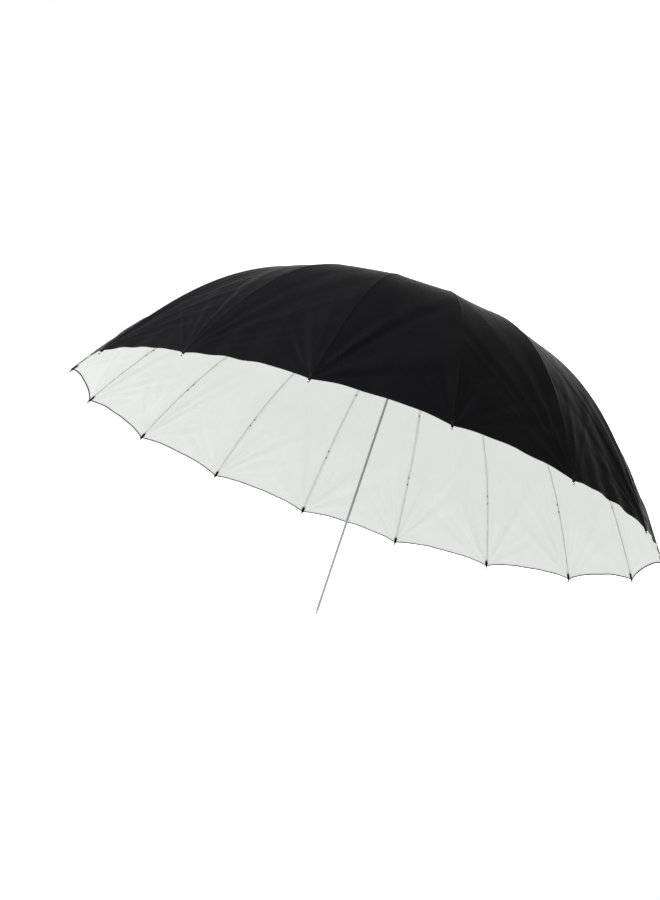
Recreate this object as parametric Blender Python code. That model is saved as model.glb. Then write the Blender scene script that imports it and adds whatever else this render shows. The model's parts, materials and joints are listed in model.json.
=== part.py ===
"""Deep sixteen-rib studio umbrella reflector, black outside and white inside.

Row frame, in metres: the shaft lies along Y with the apex at +Y and the open white side facing -Y.
The origin is the point on the shaft axis where a light bracket clamps it. Rib 1 points along +Z and
the ribs are numbered from it towards +X.

Rib, strut and canopy meshes are drawn once in a local frame whose X is the fold hinge's axis,
Y runs along the shaft towards the apex and Z points out from the shaft, and are then turned about Y.
"""
from math import atan2, cos, hypot, pi, radians, sin, sqrt, tau

import bmesh
import bpy
from mathutils import Euler

# Driving dimensions
RIB_COUNT = 16
RIM_RADIUS = 1.067           # shaft axis to a rib's end, on a nominal seven foot span
TIP_SLOPE = radians(58.5)    # how far the rib has turned towards the open side at its end
SLOPE_SPREAD = 0.85          # below 1 the bend sits nearer to the hub
SHAFT_RADIUS = 0.0040
SHAFT_BORE = 0.0032
SHAFT_FREE_END_Y = -0.120
SHAFT_PAST_RIM = 0.489       # free end of the shaft beyond the plane of the rib ends
PIVOT_RADIUS = 0.0135        # ring of rib pivots on the hub, and of strut pivots on the runner
RUNNER_DROP = 0.267          # hub pivots to runner pivots when open
CLOSED_TIP_RADIUS = 0.035
STRUT_JOINT_ALONG = 0.500    # hub pivot to strut joint, along the rib

# Ribs
ROD_RADIUS = 0.0018
ROD_SIDES = 6
ROD_START = 0.012            # the rod begins clear of the hub's teeth, at the end of a flat tongue
TONGUE_OVERLAP = 0.006
EYE_RADIUS = 0.0025
EYE_HALF_WIDTH = 0.0009
EYE_HOLE = 0.0013
TONGUE_HALF_HEIGHT = 0.0016
TAB_DROP = 0.0065            # strut joint below the rod's centreline
TAB_HALF_WIDTH = 0.0006
TAB_HALF_LENGTH = 0.0045
RIVET_HOLE = 0.0012
RIVET_RADIUS = 0.0007
TIP_BALL_RADIUS = 0.0032
STATIONS = 12                # stations along rib and canopy

# Struts
STRUT_HALF_WIDTH = 0.0020
STRUT_HALF_HEIGHT = 0.0015
FORK_HALF_GAP = 0.0009
FORK_DEPTH = 0.0075
FORK_SHOULDER = 0.006        # where the strut reaches its full height, from the rivet
STRUT_TONGUE = 0.012
STRUT_TONGUE_HALF_HEIGHT = 0.0012

# Canopy
FABRIC_THICKNESS = 0.0006
CANOPY_OFFSET = 0.0028       # rod centreline to the middle of the fabric
CANOPY_INNER_RADIUS = 0.020
CANOPY_TIP_SETBACK = 0.012   # the rib's metal end stands this far out of the canopy's corner
SCALLOP = 0.030              # rim between two ribs, back from the rib ends
PANEL_GAP = 0.00015          # half the gap left between neighbouring panels
PATCH_RADIUS = 0.045
PATCH_THICKNESS = 0.0008

# Hub and runner crowns
CROWN_RADIUS = 0.0168
CROWN_ROOT = 0.0098
CROWN_ABOVE = 0.0022         # above the pivots
CROWN_BELOW = 0.0040         # below the pivots
SLOT_HALF_WIDTH = 0.0013
RING_WIRE = 0.0006
GROOVE_HALF_WIDTH = 0.0009
SHAFT_CLEARANCE = 0.0004
COLLAR_RADIUS = 0.0092
COLLAR_LENGTH = 0.014
GRIP_LENGTH = 0.055
GRIP_WAIST = 0.0086
GRIP_FLANGE = 0.0125
FLANGE_CHAMFER = 0.0010
PIN_RADIUS = 0.0010
PIN_HOLE = 0.0014
STOP_PIN_PROUD = 0.0025
WASHER_RADIUS = 0.0115
WASHER_THICKNESS = 0.0006
GAP = 0.0004                 # between pieces that touch on the real object

# Ends of the shaft
CAP_WALL = 0.0030
CAP_LENGTH = 0.014
CAP_SIDE_WALL = 0.0010
FERRULE_HEIGHT = 0.036
FERRULE_FOOT = 0.0145
FERRULE_TIP = 0.0040
SHAFT_IN_FERRULE = 0.026

# Spring catch that holds the runner up
CATCH_PROUD = 0.0030
CATCH_LENGTH = 0.015
CATCH_HALF_WIDTH = 0.0009
CATCH_STEEP_LENGTH = 0.002   # upright face under the runner, before the long slope
CATCH_SLOT_HALF_WIDTH = 0.0014
KEYWAY_RADIUS = 0.0078

HALF_PITCH = pi / RIB_COUNT
PROFILE_SAMPLES = 1200
TURNED_SEGMENTS = 24


# ---------------------------------------------------------------------------------- rib geometry
def rib_slope(share):
    """Slope of the rib at a share of its length: level at the hub, steepest at the end."""
    return TIP_SLOPE * sin(0.5 * pi * share ** SLOPE_SPREAD) ** 2


def rib_curve():
    """Points (out, up, slope) along the rib from its pivot, evenly spaced, and its length."""
    slopes = [rib_slope((i + 0.5) / PROFILE_SAMPLES) for i in range(PROFILE_SAMPLES)]
    length = (RIM_RADIUS - PIVOT_RADIUS) * PROFILE_SAMPLES / sum(cos(s) for s in slopes)
    step = length / PROFILE_SAMPLES
    out = 0.0
    up = 0.0
    points = [(out, up, 0.0)]
    for i, slope in enumerate(slopes):
        out += step * cos(slope)
        up -= step * sin(slope)
        points.append((out, up, rib_slope((i + 1) / PROFILE_SAMPLES)))
    return points, length


CURVE, RIB_LENGTH = rib_curve()


def on_rib(distance, lift=0.0):
    """Point (out, up) at a distance along the rib, lifted off the rod towards the outside."""
    sample = min(max(distance / RIB_LENGTH, 0.0), 1.0) * PROFILE_SAMPLES
    index = min(int(sample), PROFILE_SAMPLES - 1)
    share = sample - index
    before = CURVE[index]
    after = CURVE[index + 1]
    out, up, slope = [a + (b - a) * share for a, b in zip(before, after)]
    return out + lift * sin(slope), up + lift * cos(slope)


DEPTH = -CURVE[-1][1]
HUB_Y = SHAFT_FREE_END_Y + SHAFT_PAST_RIM + DEPTH
RUNNER_Y = HUB_Y - RUNNER_DROP

# ------------------------------------------------------------------------------ fold of the frame
JOINT_OUT, JOINT_UP = on_rib(STRUT_JOINT_ALONG, -TAB_DROP)
STRUT_LENGTH = hypot(JOINT_OUT, RUNNER_DROP + JOINT_UP)
STRUT_OPEN_ANGLE = atan2(RUNNER_DROP + JOINT_UP, -JOINT_OUT)


def fold_limits():
    """Rib fold, strut fold relative to its rib (both radians) and runner travel, open to closed."""
    tip_out, tip_up, _ = CURVE[-1]
    tip_reach = hypot(tip_out, tip_up)
    closed_out = CLOSED_TIP_RADIUS - PIVOT_RADIUS
    rib_fold = atan2(sqrt(tip_reach ** 2 - closed_out ** 2), closed_out) - atan2(-tip_up, tip_out)
    reach = hypot(JOINT_OUT, JOINT_UP)
    angle = atan2(-JOINT_UP, JOINT_OUT) + rib_fold
    joint_out = reach * cos(angle)
    joint_down = reach * sin(angle)
    below_joint = sqrt(STRUT_LENGTH ** 2 - joint_out ** 2)
    strut_turn = atan2(below_joint, -joint_out) - STRUT_OPEN_ANGLE
    travel = joint_down + below_joint - RUNNER_DROP
    return rib_fold, strut_turn - rib_fold, travel


RIB_FOLD, STRUT_FOLD, RUNNER_TRAVEL = fold_limits()


def rib_angle(number):
    return (number - 1) * tau / RIB_COUNT


# ------------------------------------------------------------------------------------ mesh helpers
def clear_scene():
    for item in list(bpy.data.objects):
        bpy.data.objects.remove(item, do_unlink=True)


def make_mesh(name, vertices, faces):
    """A closed mesh with its faces pointing out, smooth apart from its real edges."""
    mesh = bpy.data.meshes.new(name)
    mesh.from_pydata([tuple(v) for v in vertices], [], faces)
    shape = bmesh.new()
    shape.from_mesh(mesh)
    bmesh.ops.recalc_face_normals(shape, faces=shape.faces)
    shape.to_mesh(mesh)
    shape.free()
    return mesh


def finish_mesh(mesh, smooth_angle=40.0):
    mesh.shade_smooth()
    mesh.set_sharp_from_angle(angle=radians(smooth_angle))
    return mesh


def loft(rings, closed=False):
    """Vertices and faces of a skin over rings of equal counts, capped unless it closes on itself."""
    count = len(rings[0])
    vertices = [point for ring in rings for point in ring]
    faces = []
    spans = len(rings) if closed else len(rings) - 1
    for r in range(spans):
        here = r * count
        there = (r + 1) % len(rings) * count
        for i in range(count):
            j = (i + 1) % count
            faces.append((here + i, here + j, there + j, there + i))
    if not closed:
        faces.append(tuple(range(count)))
        faces.append(tuple(range((len(rings) - 1) * count, len(rings) * count)))
    return vertices, faces


def turned(name, outline, segments=TURNED_SEGMENTS):
    """Solid turned about the shaft axis from a closed outline of (radius, y)."""
    rings = []
    for step in range(segments):
        angle = tau * step / segments
        rings.append([(r * sin(angle), y, r * cos(angle)) for r, y in outline])
    return make_mesh(name, *loft(rings, closed=True))


def turned_solid(name, outline, segments=TURNED_SEGMENTS):
    """Solid turned about the shaft axis from an open outline of (radius, y), with flat ends."""
    rings = []
    for r, y in outline:
        rings.append([(r * sin(tau * i / segments), y, r * cos(tau * i / segments))
                      for i in range(segments)])
    return make_mesh(name, *loft(rings))


def prism(name, outline, half_width, to_local):
    """Plate of an outline of (a, b) with its thickness along local X; to_local maps (x, a, b)."""
    rings = [[to_local(x, a, b) for a, b in outline] for x in (-half_width, half_width)]
    return make_mesh(name, *loft(rings))


def polygon(radius, sides, centre=(0.0, 0.0), start=0.0):
    return [(centre[0] + radius * cos(start + tau * i / sides),
             centre[1] + radius * sin(start + tau * i / sides)) for i in range(sides)]


def combine(mesh, other, operation):
    """Boolean of two meshes, returned as one new mesh."""
    base = bpy.data.objects.new("base", mesh)
    tool = bpy.data.objects.new("tool", other)
    for item in (base, tool):
        bpy.context.scene.collection.objects.link(item)
    cut = base.modifiers.new("cut", "BOOLEAN")
    cut.object = tool
    cut.operation = operation
    cut.solver = "EXACT"
    bpy.context.view_layer.update()
    evaluated = base.evaluated_get(bpy.context.evaluated_depsgraph_get())
    result = bpy.data.meshes.new_from_object(evaluated)
    result.name = mesh.name
    for item in (base, tool):
        bpy.data.objects.remove(item, do_unlink=True)
    return result


def box_mesh(low, high):
    rings = []
    for y in (low[1], high[1]):
        rings.append([(low[0], y, low[2]), (high[0], y, low[2]),
                      (high[0], y, high[2]), (low[0], y, high[2])])
    return make_mesh("box", *loft(rings))


def cross_pin_mesh(name, radius, half_length, y, sides=8):
    """Round pin along Z through the shaft at height y."""
    rings = [[(a, y + b, z) for a, b in polygon(radius, sides, start=pi / sides)]
             for z in (-half_length, half_length)]
    return make_mesh(name, *loft(rings))


# ---------------------------------------------------------------------------------------- materials
def material(name, colour, roughness, metallic=0.0):
    made = bpy.data.materials.new(name)
    made.use_nodes = True
    shader = made.node_tree.nodes["Principled BSDF"]
    shader.inputs["Base Color"].default_value = (*colour, 1.0)
    shader.inputs["Roughness"].default_value = roughness
    shader.inputs["Metallic"].default_value = metallic
    made.diffuse_color = (*colour, 1.0)
    return made


def place(name, mesh, finish, location=(0.0, 0.0, 0.0), turn=0.0, parent=None):
    """An object at a place in the row frame, turned about the shaft axis."""
    item = bpy.data.objects.new(name, finish_mesh(mesh))
    if not item.data.materials:
        item.data.materials.append(finish)
    bpy.context.scene.collection.objects.link(item)
    item.location = location
    item.rotation_euler = Euler((0.0, turn, 0.0))
    if parent:
        item.parent = parent
    return item


def joint_empty(name, location, turn=0.0, parent=None):
    item = bpy.data.objects.new(name, None)
    item.empty_display_size = 0.01
    bpy.context.scene.collection.objects.link(item)
    item.location = location
    item.rotation_euler = Euler((0.0, turn, 0.0))
    if parent:
        item.parent = parent
    return item


# ---------------------------------------------------------------------------------------- the ribs
def station_distances(first, last):
    return [first + (last - first) * i / STATIONS for i in range(STATIONS + 1)]


CANOPY_FIRST = CANOPY_INNER_RADIUS - PIVOT_RADIUS
CANOPY_LAST = RIB_LENGTH - CANOPY_TIP_SETBACK


def rod_mesh():
    """The glass fibre rod, bent through the same stations as the canopy's ridge."""
    rings = []
    distances = station_distances(CANOPY_FIRST, CANOPY_LAST)
    distances = [ROD_START] + distances[1:] + [RIB_LENGTH - TIP_BALL_RADIUS]
    for distance in distances:
        out, up = on_rib(distance)
        slope = rib_slope(min(distance / RIB_LENGTH, 1.0))
        ring = []
        for across, lift in polygon(ROD_RADIUS, ROD_SIDES, start=pi / ROD_SIDES):
            ring.append((across, up + lift * cos(slope), out + lift * sin(slope)))
        rings.append(ring)
    return make_mesh("rib", *loft(rings))


def hub_eye_mesh():
    """Flat tongue with the eye that the hub's wire ring passes through."""
    end = ROD_START + TONGUE_OVERLAP
    outline = [(end, -TONGUE_HALF_HEIGHT), (end, TONGUE_HALF_HEIGHT), (EYE_RADIUS, TONGUE_HALF_HEIGHT)]
    outline += [(EYE_RADIUS * cos(a), EYE_RADIUS * sin(a)) for a in (pi * k / 4 for k in range(2, 7))]
    outline += [(EYE_RADIUS, -TONGUE_HALF_HEIGHT)]
    eye = prism("eye", outline, EYE_HALF_WIDTH, lambda x, a, b: (x, b, a))
    hole = prism("hole", polygon(EYE_HOLE, 6), 2 * EYE_HALF_WIDTH, lambda x, a, b: (x, b, a))
    return combine(eye, hole, "DIFFERENCE")


def strut_tab_mesh():
    """Clip under the rod, with the hole that the strut's rivet turns in."""
    along, up = on_rib(STRUT_JOINT_ALONG)
    slope = rib_slope(STRUT_JOINT_ALONG / RIB_LENGTH)

    def to_rib(x, a, b):
        return (x, up - a * sin(slope) + b * cos(slope), along + a * cos(slope) + b * sin(slope))

    outline = [(-TAB_HALF_LENGTH, 0.0), (TAB_HALF_LENGTH, 0.0)]
    outline += [(EYE_RADIUS * cos(a), -TAB_DROP + EYE_RADIUS * sin(a))
                for a in (-pi * k / 4 for k in range(0, 5))]
    tab = prism("tab", outline, TAB_HALF_WIDTH, to_rib)
    hole = prism("hole", polygon(RIVET_HOLE, 6, (0.0, -TAB_DROP)), 2 * TAB_HALF_WIDTH, to_rib)
    return combine(tab, hole, "DIFFERENCE")


def tip_ball_mesh():
    """Ball end on the rib, which the canopy's corner pocket sits behind."""
    out, up = on_rib(RIB_LENGTH - TIP_BALL_RADIUS)
    slope = TIP_SLOPE
    rings = []
    for angle in (-0.36, -0.12, 0.12, 0.36):
        along = TIP_BALL_RADIUS * sin(angle * pi)
        radius = TIP_BALL_RADIUS * cos(angle * pi)
        ring = []
        for across, lift in polygon(radius, ROD_SIDES):
            ring.append((across, up - along * sin(slope) + lift * cos(slope),
                         out + along * cos(slope) + lift * sin(slope)))
        rings.append(ring)
    return make_mesh("ball", *loft(rings))


def rib_mesh():
    mesh = rod_mesh()
    for extra in (hub_eye_mesh(), strut_tab_mesh(), tip_ball_mesh()):
        mesh = combine(mesh, extra, "UNION")
    mesh.name = "rib"
    return mesh


# -------------------------------------------------------------------------------------- the struts
def strut_mesh():
    """Bar from the rib's clip to the runner, forked at the rib and flattened at the runner."""
    direction = (cos(STRUT_OPEN_ANGLE), -sin(STRUT_OPEN_ANGLE))

    def to_strut(x, a, b):
        out = a * direction[0] - b * direction[1]
        up = a * direction[1] + b * direction[0]
        return (x, up, out)

    bar_end = STRUT_LENGTH - STRUT_TONGUE
    outline = [(EYE_RADIUS * cos(a), EYE_RADIUS * sin(a)) for a in (pi * k / 4 for k in range(2, 7))]
    outline += [(FORK_SHOULDER, -STRUT_HALF_HEIGHT), (bar_end, -STRUT_HALF_HEIGHT),
                (bar_end, STRUT_HALF_HEIGHT), (FORK_SHOULDER, STRUT_HALF_HEIGHT)]
    mesh = prism("strut", outline, STRUT_HALF_WIDTH, to_strut)
    slot = [(-FORK_DEPTH, -FORK_DEPTH), (FORK_DEPTH, -FORK_DEPTH),
            (FORK_DEPTH, FORK_DEPTH), (-FORK_DEPTH, FORK_DEPTH)]
    mesh = combine(mesh, prism("slot", slot, FORK_HALF_GAP, to_strut), "DIFFERENCE")
    rivet = prism("rivet", polygon(RIVET_RADIUS, 6),
                  0.5 * (FORK_HALF_GAP + STRUT_HALF_WIDTH), to_strut)
    mesh = combine(mesh, rivet, "UNION")
    root = bar_end - TONGUE_OVERLAP
    outline = [(root, -STRUT_TONGUE_HALF_HEIGHT), (STRUT_LENGTH - EYE_RADIUS, -STRUT_TONGUE_HALF_HEIGHT)]
    outline += [(STRUT_LENGTH + EYE_RADIUS * cos(a), EYE_RADIUS * sin(a))
                for a in (pi * k / 4 for k in range(-2, 3))]
    outline += [(STRUT_LENGTH - EYE_RADIUS, STRUT_TONGUE_HALF_HEIGHT), (root, STRUT_TONGUE_HALF_HEIGHT)]
    tongue = prism("tongue", outline, EYE_HALF_WIDTH, to_strut)
    hole = prism("hole", polygon(EYE_HOLE, 6, (STRUT_LENGTH, 0.0)), 2 * EYE_HALF_WIDTH, to_strut)
    tongue = combine(tongue, hole, "DIFFERENCE")
    mesh = combine(mesh, tongue, "UNION")
    mesh.name = "strut"
    return mesh


# -------------------------------------------------------------------------------------- the canopy
def canopy_point(share, along, lift):
    """Point of one panel in the rib's frame. share runs from -0.5 to 0.5 across, between the middles
    of two gores, along from 0 at the hub to 1 at the rim, and lift is off the fabric's middle."""
    t = abs(share)
    last = CANOPY_LAST - SCALLOP * 4.0 * t * (1.0 - t)
    distance = CANOPY_FIRST + (last - CANOPY_FIRST) * along
    slope = rib_slope(distance / RIB_LENGTH)
    out, up = on_rib(distance, CANOPY_OFFSET)
    radius = PIVOT_RADIUS + out
    side = 1.0 if share > 0 else -1.0
    tilt = 2.0 * t * HALF_PITCH
    across = radius * t * sin(2.0 * HALF_PITCH)
    depth = radius * (1.0 - t + t * cos(2.0 * HALF_PITCH))
    across += lift * sin(slope) * sin(tilt)
    depth += lift * sin(slope) * cos(tilt)
    if t == 0.5:
        across -= PANEL_GAP * cos(HALF_PITCH)
        depth += PANEL_GAP * sin(HALF_PITCH)
    return (side * across, up + lift * cos(slope), depth - PIVOT_RADIUS)


def canopy_panel_mesh():
    """Thin sewn panel centred on one rib, from the middle of one gore to the middle of the next.

    Each row holds three points on the white side, then the same three in reverse on the black side.
    Both sides split their quads along the same diagonals, so they stay one thickness apart.
    """
    shares = (-0.5, 0.0, 0.5)
    row_size = 2 * len(shares)
    vertices = []
    for i in range(STATIONS + 1):
        along = i / STATIONS
        vertices += [canopy_point(s, along, -0.5 * FABRIC_THICKNESS) for s in shares]
        vertices += [canopy_point(s, along, 0.5 * FABRIC_THICKNESS) for s in reversed(shares)]
    faces = []
    for here in range(0, STATIONS * row_size, row_size):
        there = here + row_size
        for gore, ridge in ((0, 1), (2, 1), (3, 4), (5, 4)):
            faces.append((here + gore, here + ridge, there + gore))
            faces.append((here + ridge, there + ridge, there + gore))
        for white, black in ((2, 3), (0, 5)):
            faces.append((here + white, here + black, there + black, there + white))
    for end in (0, STATIONS * row_size):
        faces.append((end, end + 1, end + 4, end + 5))
        faces.append((end + 1, end + 2, end + 3, end + 4))
    return make_mesh("canopy_panel", vertices, faces)


# ------------------------------------------------------------------------------- hub and runner
def slotted_ring(y):
    """Outline of a sixteen-slot crown at height y, four points to a slot."""
    points = []
    for k in range(RIB_COUNT):
        middle = tau * k / RIB_COUNT
        for r, side in ((CROWN_RADIUS, -1), (CROWN_ROOT, -1), (CROWN_ROOT, 1), (CROWN_RADIUS, 1)):
            angle = middle + side * atan2(SLOT_HALF_WIDTH, r)
            points.append((r * sin(angle), y, r * cos(angle)))
    return points


def crown_mesh(name, pivot_y, collar_length=0.0):
    """Slotted crown around a bore, with a groove for the wire and perhaps a plain collar below."""
    top = pivot_y + CROWN_ABOVE
    under = pivot_y - CROWN_BELOW
    mesh = make_mesh(name, *loft([slotted_ring(under), slotted_ring(top)]))
    if collar_length:
        collar = [(COLLAR_RADIUS, under - collar_length), (COLLAR_RADIUS, pivot_y)]
        mesh = combine(mesh, turned_solid("collar", collar), "UNION")
    bore = SHAFT_RADIUS + SHAFT_CLEARANCE
    hole = [(bore, under - collar_length - GAP), (bore, top + GAP)]
    mesh = combine(mesh, turned_solid("bore", hole), "DIFFERENCE")
    floor = pivot_y - GROOVE_HALF_WIDTH
    inner = PIVOT_RADIUS - GROOVE_HALF_WIDTH
    outer = PIVOT_RADIUS + GROOVE_HALF_WIDTH
    above = top + GROOVE_HALF_WIDTH
    groove = turned("groove", [(inner, floor), (outer, floor), (outer, above), (inner, above)], 32)
    return combine(mesh, groove, "DIFFERENCE")


def keyway(low_y, high_y):
    """Lengthwise groove in the runner's bore, so that it can pass over the catch."""
    return box_mesh((0.0, low_y - GAP, -CATCH_SLOT_HALF_WIDTH),
                    (KEYWAY_RADIUS, high_y + GAP, CATCH_SLOT_HALF_WIDTH))


GRIP_TOP = RUNNER_Y - CROWN_BELOW - GAP
GRIP_BOTTOM = GRIP_TOP - GRIP_LENGTH
CATCH_TOP = GRIP_BOTTOM - 2 * GAP
STOP_PIN_Y = RUNNER_Y + CROWN_ABOVE + PIN_RADIUS + 2 * GAP
HUB_PIN_Y = HUB_Y - CROWN_BELOW - 0.5 * COLLAR_LENGTH
PATCH_Y = HUB_Y + CANOPY_OFFSET + 0.5 * FABRIC_THICKNESS + GAP
FERRULE_Y = PATCH_Y + PATCH_THICKNESS + GAP
SHAFT_TOP_Y = FERRULE_Y + SHAFT_IN_FERRULE


def runner_grip_mesh():
    bore = SHAFT_RADIUS + SHAFT_CLEARANCE
    outline = [(bore, GRIP_TOP), (COLLAR_RADIUS, GRIP_TOP),
               (GRIP_WAIST, GRIP_TOP - 0.30 * GRIP_LENGTH),
               (GRIP_WAIST, GRIP_TOP - 0.66 * GRIP_LENGTH),
               (COLLAR_RADIUS, GRIP_TOP - 0.86 * GRIP_LENGTH),
               (GRIP_FLANGE, GRIP_TOP - 0.94 * GRIP_LENGTH),
               (GRIP_FLANGE, GRIP_BOTTOM + FLANGE_CHAMFER),
               (GRIP_FLANGE - FLANGE_CHAMFER, GRIP_BOTTOM), (bore, GRIP_BOTTOM)]
    mesh = turned("runner_grip", outline)
    return combine(mesh, keyway(GRIP_BOTTOM, GRIP_TOP), "DIFFERENCE")


def runner_crown_mesh():
    mesh = crown_mesh("runner_crown", RUNNER_Y)
    return combine(mesh, keyway(RUNNER_Y - CROWN_BELOW, RUNNER_Y + CROWN_ABOVE), "DIFFERENCE")


def hub_notch_mesh():
    mesh = crown_mesh("hub_notch", HUB_Y, COLLAR_LENGTH)
    return combine(mesh, cross_pin_mesh("hole", PIN_HOLE, 2 * COLLAR_RADIUS, HUB_PIN_Y), "DIFFERENCE")


def shaft_mesh():
    """Steel tube with cross holes for its two pins and a slot for the catch."""
    low = SHAFT_FREE_END_Y + CAP_WALL + GAP
    outline = [(SHAFT_BORE, low), (SHAFT_RADIUS, low), (SHAFT_RADIUS, SHAFT_TOP_Y), (SHAFT_BORE, SHAFT_TOP_Y)]
    mesh = turned("shaft", outline)
    for y in (HUB_PIN_Y, STOP_PIN_Y):
        mesh = combine(mesh, cross_pin_mesh("hole", PIN_HOLE, 2 * SHAFT_RADIUS, y), "DIFFERENCE")
    slot = box_mesh((0.0, CATCH_TOP - CATCH_LENGTH - GAP, -CATCH_SLOT_HALF_WIDTH),
                    (2 * SHAFT_RADIUS, CATCH_TOP + GAP, CATCH_SLOT_HALF_WIDTH))
    return combine(mesh, slot, "DIFFERENCE")


def spring_catch_mesh():
    """Wedge in the shaft's slot: steep under the runner, sloping towards the free end."""
    proud = SHAFT_RADIUS + CATCH_PROUD
    inside = 0.25 * SHAFT_RADIUS
    outline = [(inside, 0.0), (proud, 0.0), (proud, -CATCH_STEEP_LENGTH),
               (0.75 * SHAFT_RADIUS, -CATCH_LENGTH), (inside, -CATCH_LENGTH)]
    rings = [[(x, CATCH_TOP + y, z) for x, y in outline] for z in (-CATCH_HALF_WIDTH, CATCH_HALF_WIDTH)]
    return make_mesh("spring_catch", *loft(rings))


def shaft_end_cap_mesh():
    """Cap over the tube's free end, with a flat end face."""
    outer = SHAFT_RADIUS + CAP_SIDE_WALL
    bore = SHAFT_RADIUS + 0.75 * GAP
    low = SHAFT_FREE_END_Y
    outline = [(0.0, low + CAP_WALL), (bore, low + CAP_WALL), (bore, low + CAP_LENGTH),
               (outer, low + CAP_LENGTH), (outer, low + CAP_SIDE_WALL), (SHAFT_RADIUS, low)]
    return revolved_from_axis("shaft_end_cap", outline)


def top_ferrule_mesh():
    """Flared cap that clamps the canopy's centre and closes the shaft's top."""
    bore = SHAFT_RADIUS + SHAFT_CLEARANCE
    base = FERRULE_Y
    outline = [(0.0, SHAFT_TOP_Y + GAP), (bore, SHAFT_TOP_Y + GAP), (bore, base),
               (0.97 * FERRULE_FOOT, base), (FERRULE_FOOT, base + 0.04 * FERRULE_HEIGHT),
               (0.83 * FERRULE_FOOT, base + 0.10 * FERRULE_HEIGHT),
               (0.57 * FERRULE_FOOT, base + 0.20 * FERRULE_HEIGHT),
               (0.46 * FERRULE_FOOT, base + 0.36 * FERRULE_HEIGHT),
               (0.43 * FERRULE_FOOT, base + 0.92 * FERRULE_HEIGHT),
               (FERRULE_TIP, base + FERRULE_HEIGHT)]
    return revolved_from_axis("top_ferrule", outline)


def revolved_from_axis(name, outline, segments=TURNED_SEGMENTS):
    """Solid turned about the shaft axis from an outline that starts on the axis; its end is flat."""
    vertices = [(0.0, outline[0][1], 0.0)]
    faces = []
    for r, y in outline[1:]:
        for i in range(segments):
            angle = tau * i / segments
            vertices.append((r * sin(angle), y, r * cos(angle)))
    for i in range(segments):
        j = (i + 1) % segments
        faces.append((0, 1 + i, 1 + j))
        for row in range(len(outline) - 2):
            here = 1 + row * segments
            there = here + segments
            faces.append((here + i, there + i, there + j, here + j))
    faces.append(tuple(range(len(vertices) - segments, len(vertices))))
    return make_mesh(name, vertices, faces)


def ring_outline(inner, outer, low, high):
    return [(inner, low), (outer, low), (outer, high), (inner, high)]


# ------------------------------------------------------------------------------------ the assembly
def build_fixed(metal, black, pale, cloth):
    place("shaft", shaft_mesh(), metal)
    place("shaft_end_cap", shaft_end_cap_mesh(), pale)
    place("hub_notch", hub_notch_mesh(), black)
    wire = [(PIVOT_RADIUS + a, HUB_Y + b) for a, b in polygon(RING_WIRE, 5)]
    place("hub_wire_ring", turned("hub_wire_ring", wire, 32), metal)
    place("hub_pin", cross_pin_mesh("hub_pin", PIN_RADIUS, COLLAR_RADIUS - GAP, HUB_PIN_Y), metal)
    washer_low = HUB_Y + CROWN_ABOVE + 0.75 * GAP
    washer = ring_outline(SHAFT_RADIUS + SHAFT_CLEARANCE, WASHER_RADIUS,
                          washer_low, washer_low + WASHER_THICKNESS)
    place("hub_washer", turned("hub_washer", washer), pale)
    place("top_ferrule", top_ferrule_mesh(), black)
    patch = ring_outline(SHAFT_RADIUS + SHAFT_CLEARANCE, PATCH_RADIUS, PATCH_Y, PATCH_Y + PATCH_THICKNESS)
    place("canopy_top_patch", turned("canopy_top_patch", patch, 32), cloth)
    stop_half = SHAFT_RADIUS + STOP_PIN_PROUD
    place("runner_stop_pin", cross_pin_mesh("runner_stop_pin", PIN_RADIUS, stop_half, STOP_PIN_Y), metal)


def build_runner(black):
    axis = joint_empty("runner_slide", (0.0, RUNNER_Y, 0.0))
    for name, mesh in (("runner_crown", runner_crown_mesh()), ("runner_grip", runner_grip_mesh())):
        place(name, mesh, black, (0.0, -RUNNER_Y, 0.0), parent=axis)


def build_catch(metal):
    axis = joint_empty("catch_press", (SHAFT_RADIUS, CATCH_TOP, 0.0))
    place("spring_catch", spring_catch_mesh(), metal, (-SHAFT_RADIUS, -CATCH_TOP, 0.0), parent=axis)


def build_arms(fibre, steel, cloth):
    rib = rib_mesh()
    strut = strut_mesh()
    panel = canopy_panel_mesh()
    for number in range(1, RIB_COUNT + 1):
        turn = rib_angle(number)
        pivot = (PIVOT_RADIUS * sin(turn), HUB_Y, PIVOT_RADIUS * cos(turn))
        arm = joint_empty(f"rib_{number:02d}_fold", pivot, turn)
        place(f"rib_{number:02d}", rib, fibre, parent=arm)
        place(f"canopy_panel_{number:02d}", panel, cloth, parent=arm)
        place(f"strut_{number:02d}", strut, steel, (0.0, JOINT_UP, JOINT_OUT), parent=arm)


def build():
    clear_scene()
    steel = material("bright_steel", (0.62, 0.63, 0.64), 0.32, 1.0)
    strut_steel = material("strut_steel", (0.50, 0.51, 0.52), 0.42, 1.0)
    black = material("black_plastic", (0.020, 0.020, 0.022), 0.45)
    pale = material("pale_nylon", (0.70, 0.70, 0.68), 0.50)
    fibre = material("glass_fibre", (0.62, 0.66, 0.60), 0.40)
    black_cloth = material("black_cloth", (0.018, 0.018, 0.022), 0.60)
    white_cloth = material("white_cloth", (0.86, 0.86, 0.86), 0.75)
    build_fixed(steel, black, pale, black_cloth)
    build_runner(black)
    build_catch(steel)
    build_arms(fibre, strut_steel, white_cloth)
    bpy.context.view_layer.update()


build()
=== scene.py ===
"""Looks of a deep sixteen-rib umbrella reflector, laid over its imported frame.

Ribs, struts and canopy are drawn in a rib's own frame, whose X is the fold hinge's axis, Y runs along
the shaft towards the apex and Z points out from the shaft, and are then turned about the shaft.
"""
import json
import random
from math import atan2, cos, hypot, pi, radians, sin, tau

import bmesh
import bpy
import numpy as np
from mathutils import Matrix, Vector


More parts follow.
